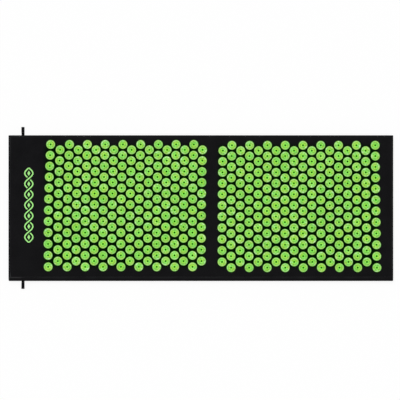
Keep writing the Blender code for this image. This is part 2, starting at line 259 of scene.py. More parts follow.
class Finish(Shades):
    # One material: a Principled shader and the nodes that feed it
    def __init__(self, name, fixed):
        self.material = bpy.data.materials.new(name)
        super().__init__(self.material)
        self.shader = self.tree.nodes["Principled BSDF"]
        self.feed(self.shader, fixed)

    def coat(self, colour, roughness, height, depth, metallic=0.0):
        # The varying inputs; depth is the real height of the relief, in millimetres
        relief = self.node("Bump", inputs={"Distance": depth * 0.001, "Height": height})
        self.feed(self.shader, {"Base Color": colour, "Roughness": roughness, "Metallic": metallic,
                                "Normal": relief})
        return self.material

    def places(self):
        return self.node("TexCoord", output="Object")

    def clothPlaces(self):
        # The two directions of the cloth, in metres, from the piece's own map
        split = self.node("SeparateXYZ", inputs={0: self.node("UVMap", {"uv_map": "clothMap"})})
        return split, Value(self, split.socket.node.outputs[1])

    def number(self, key):
        return self.node("Attribute", {"attribute_name": key}, output="Fac")

    def noise(self, scale, detail=2.0):
        return self.node("TexNoise", inputs={"Vector": self.places(), "Scale": scale, "Detail": detail})

    def mixed(self, share, first, second):
        return self.node("Mix", {"data_type": "RGBA"}, {0: share, 6: first, 7: second}, output=2)


def wovenCloth(name, dark, light, threadPitch, weaveDepth, sheen=0.0, wearAndHighlight=None, paintedShadeAndBounce=None):
    # Plain weave: sine of the place along times sine of the place across, one bump a crossing.
    # The seams take a lighter colour, wear with a painted highlight, and the cloth between the discs takes
    # the weave's two dark green colours, painted shade with a painted green bounce light
    finish = Finish(name, {"Specular IOR Level": 0.02, "Sheen Weight": sheen, "Sheen Roughness": 0.5})
    u, v = finish.clothPlaces()
    turns = tau / (threadPitch * 0.001)
    weave = (u * turns).sine() * (v * turns).sine() * 0.5 + 0.5
    blotches = finish.noise(22.0, 3.0).between(0.3, 0.7)
    fluff = finish.noise(900.0).between(0.62, 0.78)
    share = blotches * 0.14 + weave * 0.6 + fluff * 0.35
    colour = finish.mixed(share, dark, light)
    # Lighter at the seams: wear with a painted highlight along the shoulders
    if wearAndHighlight:
        colour = finish.mixed(finish.number("seam"), colour, wearAndHighlight)
    # Painted shade and painted green bounce light on the cloth between the discs
    if paintedShadeAndBounce:
        colour = finish.mixed(finish.number("field"), colour, finish.mixed(share, *paintedShadeAndBounce))
    return finish.coat(colour, 0.98 - weave * 0.12, weave + fluff, weaveDepth)


blackCloth = {"dark": (0.0038, 0.0038, 0.0042), "light": (0.0138, 0.0135, 0.0148),
              "threadPitch": 0.9, "weaveDepth": 0.20, "sheen": 0.012}
coverCloth = wovenCloth("coverCloth", **blackCloth, wearAndHighlight=(0.034, 0.034, 0.036),
                        paintedShadeAndBounce=((0.0, 0.0034, 0.0), (0.0001, 0.0088, 0.0002)))
undersideCloth = wovenCloth("undersideCloth", **blackCloth, wearAndHighlight=(0.024, 0.024, 0.026))
tapeCloth = wovenCloth("zipTapeCloth", (0.006, 0.006, 0.007), (0.017, 0.017, 0.018),
                       threadPitch=0.7, weaveDepth=0.10)


def webbingFinish():
    # Strap webbing: ribs across the strap, each a half sine, with a finer twill over them
    ribPitch, twillPitch = 0.0016, 0.0009
    finish = Finish("strapWebbing", {"Specular IOR Level": 0.08, "Sheen Weight": 0.01})
    u, v = finish.clothPlaces()
    ribs = (v * (tau / ribPitch)).sine() * 0.5 + 0.5
    twill = ((u + v) * (tau / twillPitch)).sine() * 0.5 + 0.5
    share = ribs * 0.45 + twill * 0.25 + finish.noise(300.0).between(0.4, 0.7) * 0.3
    colour = finish.mixed(share, (0.0020, 0.0020, 0.0024), (0.0130, 0.0130, 0.0145))
    return finish.coat(colour, 0.95 - ribs * 0.12, ribs + twill * 0.4, 0.18)


def threadFinish():
    # Sewing thread: fine slanting strands, dark
    finish = Finish("sewingThread", {"Specular IOR Level": 0.3})
    strands = finish.node("TexWave", {"wave_type": "BANDS", "bands_direction": "DIAGONAL"},
                          {"Vector": finish.places(), "Scale": 1800.0, "Distortion": 1.0}, output="Fac")
    colour = finish.mixed(strands, (0.004, 0.004, 0.005), (0.017, 0.017, 0.018))
    return finish.coat(colour, 0.7 - strands * 0.15, strands, 0.05)


def foamFinish():
    # Polyurethane foam: small round pores in a pale yellowish body
    finish = Finish("paleFoam", {"Specular IOR Level": 0.2})
    cells = finish.node("TexVoronoi", inputs={"Vector": finish.places(), "Scale": 900.0})
    pores = 1 - cells.between(0.1, 0.45)
    colour = finish.mixed(pores * 0.7 + finish.noise(12.0) * 0.3, (0.78, 0.74, 0.60), (0.55, 0.50, 0.36))
    return finish.coat(colour, 0.95 - pores * 0.1, 1 - pores, 0.25)


discLook = {
    # The colour by distance from the middle: painted shade in the hole, in a darker ring at the middle
    # spikes and at the rim, and a pale ring of painted highlight towards the rim
    "rings": [(0, (0, 0.14, 0)), (0.15, (0, 0.28, 0)), (0.205, (0.06, 0.66, 0.002)),
              (0.27, (0.37, 0.98, 0.082)), (0.40, (0.35, 0.91, 0.080)), (0.54, (0.27, 0.71, 0.046)),
              (0.66, (0.29, 0.69, 0.068)), (0.78, (0.47, 0.80, 0.210)), (0.89, (0.64, 0.98, 0.340)),
              (0.945, (0.16, 0.58, 0.040)), (1, (0, 0.13, 0))],
    "warm": (0.52, 0.66, 0.030), "cool": (0.12, 0.82, 0.19),    # patches lean to yellow or to blue
    "patchSize": 9.0, "fleckSize": 5.625, "shift": 0.36, "toneShare": 0.22,
    "pale": (0.76, 0.97, 0.64), "glintShare": 0.60, "glintPatchSize": 38.0,   # painted highlights of the spikes, in flecks, most of them near the rim
    "olive": (0.13, 0.42, 0.015), "spikeShadeShare": 0.38,           # painted shade, in flecks between the spikes
    # The spikes: painted shade at their feet and a painted highlight at their tips
    "spikeFootShade": (0.15, 0.47, 0.020), "spikeTipHighlight": (0.62, 0.95, 0.36),
}


def discFinish(look):
    # Moulded plastic: colour by the distance from the disc's middle, with painted shade and painted
    # highlights in its rings, in patches and flecks
    finish = Finish("greenPlastic", {"Specular IOR Level": 0.25, "IOR": 1.49})
    radius, tone, tip = finish.number("radius"), finish.number("tone"), finish.number("tip")
    rings = finish.node("ValToRGB", {"stops": look["rings"]}, {0: radius})
    patches = finish.noise(1000 / look["patchSize"])
    cool = (patches + tone * 0.06 - 0.03).between(0.40, 0.60)
    tint = finish.mixed(cool, look["warm"], look["cool"])
    body = radius.between(0.2, 0.35) * (1 - radius.between(0.88, 0.95))
    colour = finish.mixed(look["shift"] * body, rings, tint)
    flecks = finish.noise(1000 / look["fleckSize"])
    # Painted highlights of the spikes: pale flecks, most of them near the rim
    glintPatches = finish.noise(1000 / look["glintPatchSize"], 1.0).between(0.38, 0.62) * 1.6 + 0.2
    paintedGlints = flecks.between(0.52, 0.64) * (0.30 + 0.70 * radius.between(0.55, 0.85)) * glintPatches
    paintedSpikeShade = 1 - flecks.between(0.36, 0.48)
    colour = finish.mixed(paintedGlints * body * look["glintShare"], colour, look["pale"])
    # Painted shade in flecks between the spikes, with each disc's own random tone
    shadeAndToneShare = (paintedSpikeShade * look["spikeShadeShare"] + tone * look["toneShare"]) * body
    colour = finish.mixed(shadeAndToneShare, colour, look["olive"])
    # Spikes: painted shade at the foot, a painted highlight at the tip
    spikeShadeAndHighlight = finish.mixed(tip.between(0.3, 1.0), look["spikeFootShade"], look["spikeTipHighlight"])
    colour = finish.mixed(tip.between(0.0, 0.25) * 0.7, colour, spikeShadeAndHighlight)
    grain = finish.noise(1400.0, 3.0)
    return finish.coat(colour, 0.34 + patches * 0.12 + grain * 0.08, grain, 0.03)


def nylonFinish():
    # Zip coil: smooth monofilament with faint drawing lines
    finish = Finish("zipNylon", {"Specular IOR Level": 0.45})
    lines = finish.noise(2600.0, 1.0)
    colour = finish.mixed(lines, (0.010, 0.010, 0.011), (0.022, 0.022, 0.024))
    return finish.coat(colour, 0.32 + lines * 0.15, lines, 0.02)


def metalFinish():
    # Black lacquer over zinc, rubbed through to grey metal at the edges
    finish = Finish("blackMetal", {"Specular IOR Level": 0.4})
    rubbed = (finish.number("edge") * 0.7 + finish.noise(650.0, 3.0) * 0.6).between(0.82, 1.08)
    scratches = finish.noise(1600.0)
    colour = finish.mixed(rubbed, (0.010, 0.010, 0.011), (0.15, 0.15, 0.155))
    return finish.coat(colour, 0.34 + scratches * 0.16, scratches, 0.02, metallic=0.1 + rubbed * 0.7)


def inkFinish():
    # Printed green ink: even, a little broken where it sinks into the weave
    finish = Finish("greenInk", {"Specular IOR Level": 0.2})
    sunk = finish.noise(1100.0, 3.0).between(0.45, 0.75)
    colour = finish.mixed(sunk, (0.38, 0.84, 0.25), (0.30, 0.70, 0.18))
    return finish.coat(colour, 0.55 + sunk * 0.2, 1 - sunk, 0.06)


strapWebbing, sewingThread, paleFoam = webbingFinish(), threadFinish(), foamFinish()
greenPlastic, zipNylon = discFinish(discLook), nylonFinish()
blackMetal, greenInk = metalFinish(), inkFinish()
print("materials made")


foldLine = 37.0
foldReach = 18.5      # the cloth bends this far to each side of the fold line
foldMargin = 3.0      # its points stand close together this far past that


def foldBlend(piece):
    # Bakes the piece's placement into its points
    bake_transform(piece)


def foldSamples(step):
    # Close places across the strip that bends and its margins
    return spaced(foldLine - foldReach - foldMargin, foldLine + foldReach + foldMargin, step)


coverLook = {
    "seams": {"left": -643.5, "right": 645.0, "near": -233.5, "far": 241.5},  # where the top panel ends
    "ends": {"left": -650.7, "right": 650.7, "near": -246.5, "far": 246.5},   # outline seen from above
    "top": 22.0, "shoulderDrop": 6.0, "base": 1.1,
    "tuck": 1.8, "tuckShare": 0.22,             # the walls draw in over this first share of them
    "cornerPower": 5.0,       # 2 is a round corner, more is squarer
    "settle": 0.9, "settleReach": 16.0,         # the top sinks a little towards the seams
    "shoulderCloth": 9.0, "wallCloth": 15.0,    # their lengths in the flat panel
    "arcShare": 1.2,          # the shoulder's way round over its width
    "welt": (0.55, 0.9, 0.8), "groove": (-0.35, -1.6, 0.7),     # height, place, width
    "pucker": (0.22, -2.0, 5.0), "puckerLength": 15.0,
    "wrinkle": 0.16, "wrinkleLength": 60.0, "wrinkleStretch": 0.7, "wrinkleFade": (0.2, 0.8),
    "calm": {"share": 0.65, "x": (-520, -500), "fold": (0, 12), "y": (-246, -215)},   # less by this share
    "wallWave": 0.25, "wallWaveLength": 45.0, "wallWaveStretch": 3, "wallWaveSpan": (1, 1.3, 1.7, 1.95),
    # where painted shade and a painted green bounce light darken the cloth between the discs
    "discs": {"left": (-536, -515, 4, 22), "right": (52, 70, 587, 608), "y": (-208, -187, 202, 223)},
    # the seams lighter: wear, with a painted highlight along the shoulders
    "wearAndHighlight": {"all": 0.20, "place": 0.8, "width": 1.5, "patchLength": 70.0,
             "farLeft": (0.25, (-560, -640), (60, 160)),          # more at two corners, a painted highlight there: how much, x, y
             "nearLeft": (0.70, (-596, -620), (-215, -225))},
    "thickness": 0.8, "step": 7.0, "foldStep": 1.25, "leastStep": 0.35,
    "seamSamples": (0, 0.5, 1.0, 1.6, 2.2, 3.0, 4.2, 6.0, 8.5, 12.0),
    "shoulderSamples": (0.035, 0.08, 0.13, 0.19, 0.27, 0.36, 0.48, 0.6, 0.74, 0.88, 1.0),
    "wallSamples": (14.6, 11.5, 8.5, 5.5, 2.6),
    "zipSlot": {"half": 220.0, "low": 4.0, "high": 13.0},
}


def coverSamples(look, low, high, extra):
    # Places along one direction of the top panel: close together at the seams, and the extra ones
    near = np.array(look["seamSamples"])
    middle = spaced(low + near[-1], high - near[-1], look["step"])[1:-1]
    every = np.unique(np.concatenate([low + near, high - near, middle, extra]).round(3))
    close = np.diff(every, append=1e6) < look["leastStep"]
    return every[~close | np.isin(every, extra.round(3))]


def wallShare(look, height):
    # 1 at the top of the wall, 2 at its foot
    wallTop = look["top"] - look["shoulderDrop"]
    return 1 + (wallTop - height) / (wallTop - look["base"])


def marginSamples(look):
    # Places outside a seam: 0 to 1 over the shoulder, 1 to 2 down the wall
    slot = look["zipSlot"]
    heights = np.sort([*look["wallSamples"], slot["high"], slot["low"], look["base"]])[::-1]
    return np.concatenate([look["shoulderSamples"], wallShare(look, heights)])


def wrapped(look):
    # A panel that turns down over its shoulders into four walls. Inside the seams a point keeps
    # its place, but sinks by settle * exp(-distance / reach) towards the seam. Outside, its larger
    # margin share m gives out = width * sin(m * 90 deg) and drop = depth * (1 - cos(m * 90 deg)),
    # then straight down. At a corner the two shares give the direction, squared off by the
    # superellipse |cos|^n + |sin|^n = 1. seam is the distance outside the seam along the cloth
    seams, ends = look["seams"], look["ends"]
    folds = foldSamples(look["foldStep"])
    slotHalf = look["zipSlot"]["half"]
    xs = coverSamples(look, seams["left"], seams["right"], folds)
    clear = np.abs(xs - foldLine) > foldReach + foldMargin + 0.5
    xs = xs[clear | np.isin(xs.round(3), folds.round(3))]
    ys = coverSamples(look, seams["near"], seams["far"], np.array([-slotHalf, slotHalf]))
    margins = marginSamples(look)

    def shares(places):
        # 0 inside the seams, and the margin's places on both sides of them, below 0 on the low side
        return np.concatenate([-margins[::-1], np.zeros(len(places)), margins])

    def laidOut(core, share):
        # The same place in the flat panel
        over, down = np.clip(np.abs(share), 0, 1), np.clip(np.abs(share) - 1, 0, 1)
        return core + np.sign(share) * (over * look["shoulderCloth"] + down * look["wallCloth"])

    x0, y0 = np.meshgrid(*(np.pad(places, len(margins), mode="edge") for places in (xs, ys)), indexing="ij")
    sx, sy = np.meshgrid(shares(xs), shares(ys), indexing="ij")
    ax, ay = np.abs(sx), np.abs(sy)
    m = np.maximum(ax, ay)
    shoulder, down = np.clip(m, 0, 1), np.clip(m - 1, 0, 1)
    over = shoulder * np.pi / 2
    turn = np.where(ax >= ay, ay / np.maximum(ax, 1e-9), 2 - ax / np.maximum(ay, 1e-9)) * np.pi / 4
    cos, sin = np.cos(turn), np.sin(turn)
    n = look["cornerPower"]
    square = (cos ** n + sin ** n) ** (-1 / n)
    cos, sin = cos * square * np.sign(sx), sin * square * np.sign(sy)
    wideX = np.where(sx < 0, seams["left"] - ends["left"], ends["right"] - seams["right"])
    wideY = np.where(sy < 0, seams["near"] - ends["near"], ends["far"] - seams["far"])
    tuck = look["tuck"] * smooth(0, look["tuckShare"], down)
    x = x0 + cos * (wideX * np.sin(over) - tuck)
    y = y0 + sin * (wideY * np.sin(over) - tuck)
    inside = np.minimum(np.minimum(x0 - xs[0], xs[-1] - x0), np.minimum(y0 - ys[0], ys[-1] - y0))
    around = look["arcShare"] * np.where(ax >= ay, wideX, wideY) * shoulder
    seam = np.where(m > 0, around + down * look["wallCloth"], -inside)
    wallTop = look["top"] - look["shoulderDrop"]
    z = look["top"] - look["shoulderDrop"] * (1 - np.cos(over)) - down * (wallTop - look["base"])
    z -= look["settle"] * np.exp(np.minimum(seam, 0) / look["settleReach"]) * (1 - shoulder)
    normal = unit(np.stack([cos * np.sin(over), sin * np.sin(over), np.cos(over) + 1e-9], -1))
    flat = np.stack([laidOut(x0, sx), laidOut(y0, sy)], -1)
    return np.stack([x, y, z], -1), normal, seam, m, flat


def clothWaves(look, x, y):
    # Soft wrinkles of the cloth: calm under the discs, fuller on the bare margins
    calm = look["calm"]
    still = smooth(*calm["x"], x) * smooth(*calm["fold"], np.abs(x - foldLine)) * smooth(*calm["y"], y)
    wrinkles = waves(x, y * look["wrinkleStretch"], look["wrinkleLength"], 12, 5)
    return look["wrinkle"] * (1 - calm["share"] * still) * wrinkles


def makeCover(look):
    # The wrapped panel with a welt outside the seam, a groove where the stitches pull, puckers
    # along it, soft wrinkles on the bare margins, waves along the walls and a slot for the zip.
    # edge is how much lighter the cloth is at the seams, wear with a painted highlight that is strongest at
    # two left corners, and field is where painted shade and a painted green bounce light darken the cloth
    # between the discs
    points, normal, seam, m, flat = wrapped(look)
    x, y, z = np.moveaxis(points, -1, 0)
    u, v = np.moveaxis(flat, -1, 0)
    forms = (look["welt"], look["groove"], look["pucker"])
    welt, groove, pucker = (height * bump(seam, place, width) for height, place, width in forms)
    pucker *= waves(u, v, look["puckerLength"], 9, 11)
    wrinkle = clothWaves(look, x, y) * (1 - smooth(*look["wrinkleFade"], m))
    wallWave = look["wallWave"] * plateau(m, *look["wallWaveSpan"])
    wallWave *= waves(u + v, z * look["wallWaveStretch"], look["wallWaveLength"], 8, 21)
    points = (points + normal * (welt + groove + pucker + wrinkle + wallWave)[..., None]).reshape(-1, 3)

    faces = gridFaces(*m.shape)
    slot = look["zipSlot"]
    middle = points[faces].mean(1)
    down = m.reshape(-1)[faces]      # how far down the wall each corner of a face is
    inSlot = (middle[:, 0] < 0) & (np.abs(middle[:, 1]) < slot["half"])
    inSlot &= down.min(1) > wallShare(look, slot["high"]) - 1e-4
    inSlot &= down.max(1) < wallShare(look, slot["low"]) + 1e-4

    def corner(amount, xs, ys):
        # What a corner adds, rising along x and along y
        return amount * smooth(*xs, x) * smooth(*ys, y)

    # Lighter cloth at the seams: wear, with a painted highlight along the shoulders, strongest at the far
    # left and near left corners
    wearAndHighlight, discs = look["wearAndHighlight"], look["discs"]
    uneven = np.clip(0.8 + 0.4 * waves(x, y, wearAndHighlight["patchLength"], 8, 13), 0.3, 1.3)
    edge = uneven * (wearAndHighlight["all"] + corner(*wearAndHighlight["farLeft"])) + corner(*wearAndHighlight["nearLeft"])
    edge *= bump(seam, wearAndHighlight["place"], wearAndHighlight["width"])
    # Painted shade and painted green bounce light on the cloth between the discs
    field = (plateau(x, *discs["left"]) + plateau(x, *discs["right"])) * plateau(y, *discs["y"])
    piece = makePiece("cover", points, [faces[~inSlot]], coverCloth,
                      {"seam": edge.reshape(-1), "field": field.reshape(-1)}, flat.reshape(-1, 2), 60)
    wall = piece.modifiers.new("clothThickness", "SOLIDIFY")
    wall.thickness = look["thickness"] * 0.001
    wall.offset = -1
    return piece


cover = makeCover(coverLook)
print("cover made", len(cover.data.polygons))


foamLook = dict(coverLook, seams={"left": -643.0, "right": 643.5, "near": -235.0, "far": 239.5},
                ends={"left": -645.4, "right": 647.2, "near": -243.4, "far": 243.4},
                top=20.4, shoulderDrop=4.6, tuck=0.6, cornerPower=4.0, settle=0.5, settleReach=14.0,
                step=14.0, foldStep=2.5, underPull=0.35, underHalf=(640.0, 233.0))


def makeFoam(look):
    # The same wrapped form a little smaller, closed below by a flat sheet of the same outline,
    # whose margins are drawn in so that its rows spread under the walls
    points, _, _, m, _ = wrapped(look)
    half = np.array(look["underHalf"])
    pull = (1 - look["underPull"] * m / 2 * (m < 2))[..., None]
    under = points.copy()
    under[..., :2] = points[..., :2] * pull + (1 - pull) * np.clip(points[..., :2], -half, half)
    under[..., 2] = look["base"]
    closed, faces, _ = closedSheet(points, under)
    return makePiece("foamSlab", closed, [faces], paleFoam)


foam = makeFoam(foamLook)
print("foam made", len(foam.data.polygons))


undersideLook = {
    "half": (650.0, 246.0), "thickness": 0.8, "hemHeight": 1.9, "hemWidth": 3.0,
    "rim": 1.2, "rimRise": 0.75, "leastThickness": 0.45,
    "stitchPlace": 3.6, "stitchWidth": 1.1, "lift": 0.35, "wearAndHighlight": 0.7, "wearAndHighlightWidth": 1.2,
    "crease": 0.12, "creaseLength": 55.0, "creaseStart": (4, 14), "creaseMost": 0.35,
    "step": 9.0, "foldStep": 1.25,
    "edgeSamples": (0, 0.15, 0.45, 0.9, 1.5, 2.2, 3.0, 3.6, 4.4, 6.5, 10.0),
}


def makeUnderside(look):
    # A flat sheet whose last few millimetres are a thicker, rounded hem: height over the border is
    # thickness + (hem - thickness) * a half circle round 0.45 of the hem's width, and the hem's
    # lower edge rounds up
    halfX, halfY = look["half"]
    edge = np.array(look["edgeSamples"])
    folds = foldSamples(look["foldStep"])

    def inner(low, high):
        # Even places between two others
        return spaced(low, high, look["step"])[1:-1]

    xs = np.concatenate([-halfX + edge, inner(-halfX + edge[-1], folds[0]), folds,
                         inner(folds[-1], halfX - edge[-1]), halfX - edge[::-1]])
    ys = np.concatenate([-halfY + edge, inner(-halfY + edge[-1], halfY - edge[-1]), halfY - edge[::-1]])
    x, y = np.meshgrid(xs, ys, indexing="ij")
    inside = np.minimum(halfX - np.abs(x), halfY - np.abs(y))
    share = np.clip(inside / look["hemWidth"], 0, 1)
    arch = np.sqrt(np.clip(1 - (2 * share - 0.9) ** 2, 0, 1)) * (share < 0.97)
    top = look["thickness"] + (look["hemHeight"] - look["thickness"]) * arch * smooth(0, 0.06, share)
    rim = 1 - np.clip(inside / look["rim"], 0, 1)
    rounding = look["rimRise"] * (1 - np.sqrt(1 - rim ** 2))
    crease = look["crease"] * (1 + waves(x, y, look["creaseLength"], 10, 31))
    crease = np.clip(crease * smooth(*look["creaseStart"], inside), 0, look["creaseMost"])
    low = rounding + look["lift"] * bump(inside, look["stitchPlace"], look["stitchWidth"]) + crease
    high = np.maximum(top - rounding * 0.5, low + look["leastThickness"])
    high = np.where(inside <= 0, (high + low) / 2, high)
    points, faces, used = closedSheet(np.stack([x, y, high], -1), np.stack([x, y, low], -1))
    # The hem's rim lighter, by the same seam colour as the cover: wear with a painted highlight
    seam = np.tile(look["wearAndHighlight"] * bump(inside, look["rim"], look["wearAndHighlightWidth"]).reshape(-1), 2)[used]
    return makePiece("underside", points, [faces], undersideCloth, {"seam": seam}, points[:, :2], 50)


underside = makeUnderside(undersideLook)
print("underside made")

for piece, slotName in ((cover, "cover_cloth"), (foam, "foam"), (underside, "cover_cloth")):
    foldBlend(piece)
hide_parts("top_cloth_left", "top_cloth_right")
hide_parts("foam_pad_left", "foam_pad_right")
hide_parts("bottom_cloth_left", "bottom_cloth_right")


stitchLook = {
    "length": 3.0, "pitch": 3.9, "width": 0.55, "taper": (0.35, 1, 1, 0.35), "sides": 5,
    "rise": 0.34, "dive": 0.45,                          # the ends lie lower by this share of the rise
    "inset": 1.6, "sink": 0.12,                          # the rows inside the seams
    "slotX": -648.25, "slotGap": 1.3, "slotExtra": 2.0,  # the rows along the slot for the zip
    "hemZ": 0.42, "hemRise": 0.2,
}


def stitchRow(first, last, normal, look):
    # Stitches at even distances along a straight line: spindles of a few rings, which rise as a
    # half sine and dive at both ends
    length = np.linalg.norm(last - first)
    count = int(length / look["pitch"])
    way = (last - first) / length
    middle = (np.arange(count) + 0.5) * length / count
    thick = look["width"] / 2 * np.array(look["taper"])
    rows, sides = len(thick), look["sides"]
    along = np.linspace(-0.5, 0.5, rows)
    rise = look["rise"] * (np.cos(along * np.pi) - look["dive"])
    rings = first + (middle[:, None] + along * look["length"])[..., None] * way + rise[:, None] * normal
    section = circle(np.arange(sides) * tau / sides) @ np.stack([np.cross(way, normal), normal])
    points = rings[:, :, None] + thick[:, None, None] * section
    return points.reshape(-1, 3), copied(tubeFaces(rows, sides, flipped=True), count, rows * sides)


def levelRows(low, high, height, up, look):
    # Stitches along the four sides of a level rectangle, on its upper or lower side
    corners, normal = rectangle(low, high, height), np.array([0.0, 0.0, up])
    return [stitchRow(first, last, normal, look) for first, last in zip(corners, np.roll(corners, -1, 0))]


def makeTopStitches(look):
    # A row inside each seam of the top panel, and one above and one below the zip's slot
    seams, slot, inset = coverLook["seams"], coverLook["zipSlot"], look["inset"]
    low = (seams["left"] + inset, seams["near"] + inset)
    high = (seams["right"] - inset, seams["far"] - inset)
    settled = coverLook["settle"] * np.exp(-inset / coverLook["settleReach"])
    rows = levelRows(low, high, coverLook["top"] - settled - look["sink"], 1.0, look)
    reach = slot["half"] + look["slotExtra"]
    for height in (slot["high"] + look["slotGap"], slot["low"] - look["slotGap"]):
        first, last = np.array([[look["slotX"], -reach, height], [look["slotX"], reach, height]])
        rows.append(stitchRow(first, last, np.array([-1.0, 0.0, 0.0]), look))
    return makePiece("topStitches", *joined(rows), sewingThread)


def makeHemStitches(look):
    # A row under the hem, along all four sides
    halfX, halfY = (half - undersideLook["stitchPlace"] for half in undersideLook["half"])
    rows = levelRows((-halfX, -halfY), (halfX, halfY), look["hemZ"], -1.0, dict(look, rise=look["hemRise"]))
    return makePiece("hemStitches", *joined(rows), sewingThread)


topStitches, hemStitches = makeTopStitches(stitchLook), makeHemStitches(stitchLook)
for piece in (topStitches, hemStitches):
    foldBlend(piece)
print("stitches made", len(topStitches.data.polygons) + len(hemStitches.data.polygons))


discField = {
    "first": 34.7, "pitch": (30.17, 30.33), "spread": 4.3, "spreadPower": 16,
    "last": 17, "rowPitch": 37.6, "creep": 0.12, "shift": (12.0, 9.2),
    "leanLength": 650.0, "leanWidth": 207.0, "lean": (-1.6, -4.0, 2.1), "bow": (-1.6, 1.9),
    "height": 22.05,
}
discShape = {
    "sides": 20, "slope": (5, 4),     # the spikes stand between these points of the profile
    "profile": [(2.3, 0.0), (14.9, 0.0), (15.35, 0.6), (14.95, 1.3), (13.9, 1.6), (3.3, 1.9), (2.45, 1.5)],
    "rings": [(3, 4.7, 0.3), (9, 8.7, 0.0), (15, 12.6, 0.1)],   # spikes, radius, first angle
    "spikeBase": 1.3, "spikeHeight": 6.4, "waist": 0.55, "waistShare": 0.35, "sink": 0.15,
    "tips": [0.3] * 4 + [0.5] * 4 + [1.0],      # how near its tip each point of a spike is
}


def columnPlaces(field, side, column):
    # The lattice of the part: steps of pitch from the fold and of rowPitch along the column, then
    # a lean in proportion to y and a bow in proportion to y squared, both polynomials in x
    k = (side + 1) // 2
    count = 11 if column % 2 == 0 else 12
    steps = np.arange(count) - (count - 1) / 2
    x = foldLine + side * (field["first"] + field["pitch"][k] * column
                           + field["spread"] * (column / field["last"]) ** field["spreadPower"])
    y = field["shift"][k] + field["rowPitch"] * steps - field["creep"] * steps ** 2
    along = x / field["leanLength"]
    across = (y - sum(field["shift"]) / 2) / field["leanWidth"]
    lean, bow = np.polyval(field["lean"], along), np.polyval(field["bow"], along)
    return np.stack([x + lean * across + bow * across ** 2, y, np.full(count, field["height"])], -1)


def discTemplate(shape):
    # The plate is a profile (radius, height) turned round the middle, with a hole; a spike is a
    # four-sided pyramid with a narrower waist, sunk a little into the plate
    profile = np.array(shape["profile"])
    rows, sides = len(profile), shape["sides"]
    ring = circle(np.arange(sides) * tau / sides)
    heights = np.broadcast_to(profile[:, None, 1:], (rows, sides, 1))
    plate = np.concatenate([profile[:, None, :1] * ring, heights], -1).reshape(-1, 3)
    plateFaces = gridFaces(rows, sides, ringRows=True, ringColumns=True)[:, ::-1]

    counts, radii, _ = zip(*shape["rings"])
    out = np.repeat(radii, counts)
    turn = np.concatenate([first + np.arange(count) * tau / count for count, _, first in shape["rings"]])
    centre = circle(turn) * out[:, None]
    square = circle(turn[:, None] + (np.arange(4) + 0.5) * tau / 4)
    base = np.interp(out, *profile[list(shape["slope"])].T) - shape["sink"]
    waist = base + (shape["spikeHeight"] - base) * shape["waistShare"]

    def level(size, height):
        # The four corners of each spike at one height
        heights = np.broadcast_to(height[:, None, None], (len(out), 4, 1))
        return np.concatenate([centre[:, None] + square * size, heights], -1)

    top = np.column_stack([centre, np.full(len(out), shape["spikeHeight"])])[:, None]
    spikes = np.concatenate([level(shape["spikeBase"], base),
                             level(shape["waist"] * shape["spikeBase"], waist), top], 1)
    walls = np.array([[k, (k + 1) % 4, (k + 1) % 4 + 4, k + 4] for k in range(4)])
    slopes = np.array([[k + 4, (k + 1) % 4 + 4, 8] for k in range(4)])
    walls, feet, slopes = copied([walls, np.array([[3, 2, 1, 0]]), slopes], len(out), 9)
    quads = np.concatenate([plateFaces, walls + len(plate), feet + len(plate)])
    radius = np.concatenate([np.hypot(*plate[:, :2].T), np.repeat(out, 9)]) / profile[:, 0].max()
    tip = np.concatenate([np.zeros(len(plate)), np.tile(shape["tips"], len(out))])
    return np.concatenate([plate, spikes.reshape(-1, 3)]), [quads, slopes + len(plate)], radius, tip


discPoints, discFaces, discRadius, discTip = discTemplate(discShape)
draw = np.random.default_rng(3)
order = range(discField["last"] + 1)
columns = [(-1, column) for column in reversed(order)] + [(1, column) for column in order]
for number, (side, column) in enumerate(columns, 1):
    places = columnPlaces(discField, side, column)
    turns = draw.uniform(0, tau, len(places))
    points, faceSets = repeated(discPoints, discFaces, places, turns)
    values = {"radius": np.tile(discRadius, len(places)), "tip": np.tile(discTip, len(places)),
              "tone": np.repeat(draw.uniform(0, 1, len(places)), len(discPoints))}
    piece = makePiece(f"discColumn{number:02d}", points, faceSets, greenPlastic, values)
    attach(piece, "left_half" if side < 0 else "right_half")
    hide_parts(f"disc_column_{number:02d}")
print("discs made", len(columns), "columns of", len(discPoints), "points a disc")


strapLook = {
    "x": -602.7, "wall": 246.0, "width": 10.2, "thickness": 1.0, "bendRadius": 3.5, "rootGap": 0.6,
    "rootLength": 3.0, "neckLength": 11.0, "edgeGap": 0.3, "reach": {"far": 28.9, "near": 27.7},
    "sides": 20, "powers": (0.35, 0.6), "leastHeight": 0.02,
    "points": {"floor": 6, "bend": 15, "slope": 14},
}


def strapPath(look, reach):
    # Out along the floor, round a half circle, back above it and down a cosine slope on itself
    half = look["thickness"] / 2
    radius = look["bendRadius"]
    rise = 2 * radius - look["thickness"] - look["edgeGap"]
    bend = reach - look["rootGap"] - half - radius
    points = look["points"]
    floor = np.linspace(look["rootLength"], bend, points["floor"])[:-1]
    angle = np.linspace(-np.pi / 2, np.pi / 2, points["bend"])
    share = np.linspace(0, 1, points["slope"])
    out = np.concatenate([[0], floor, bend + radius * np.cos(angle),
                          look["rootLength"] + look["neckLength"] * (1 - share), [0]])
    height = np.concatenate([np.full(points["floor"], half), half + radius * (1 + np.sin(angle)),
                             half + 2 * radius - rise * (1 - np.cos(np.pi * share)) / 2,
                             [half + 2 * radius - rise]])
    return np.stack([out, height], -1)


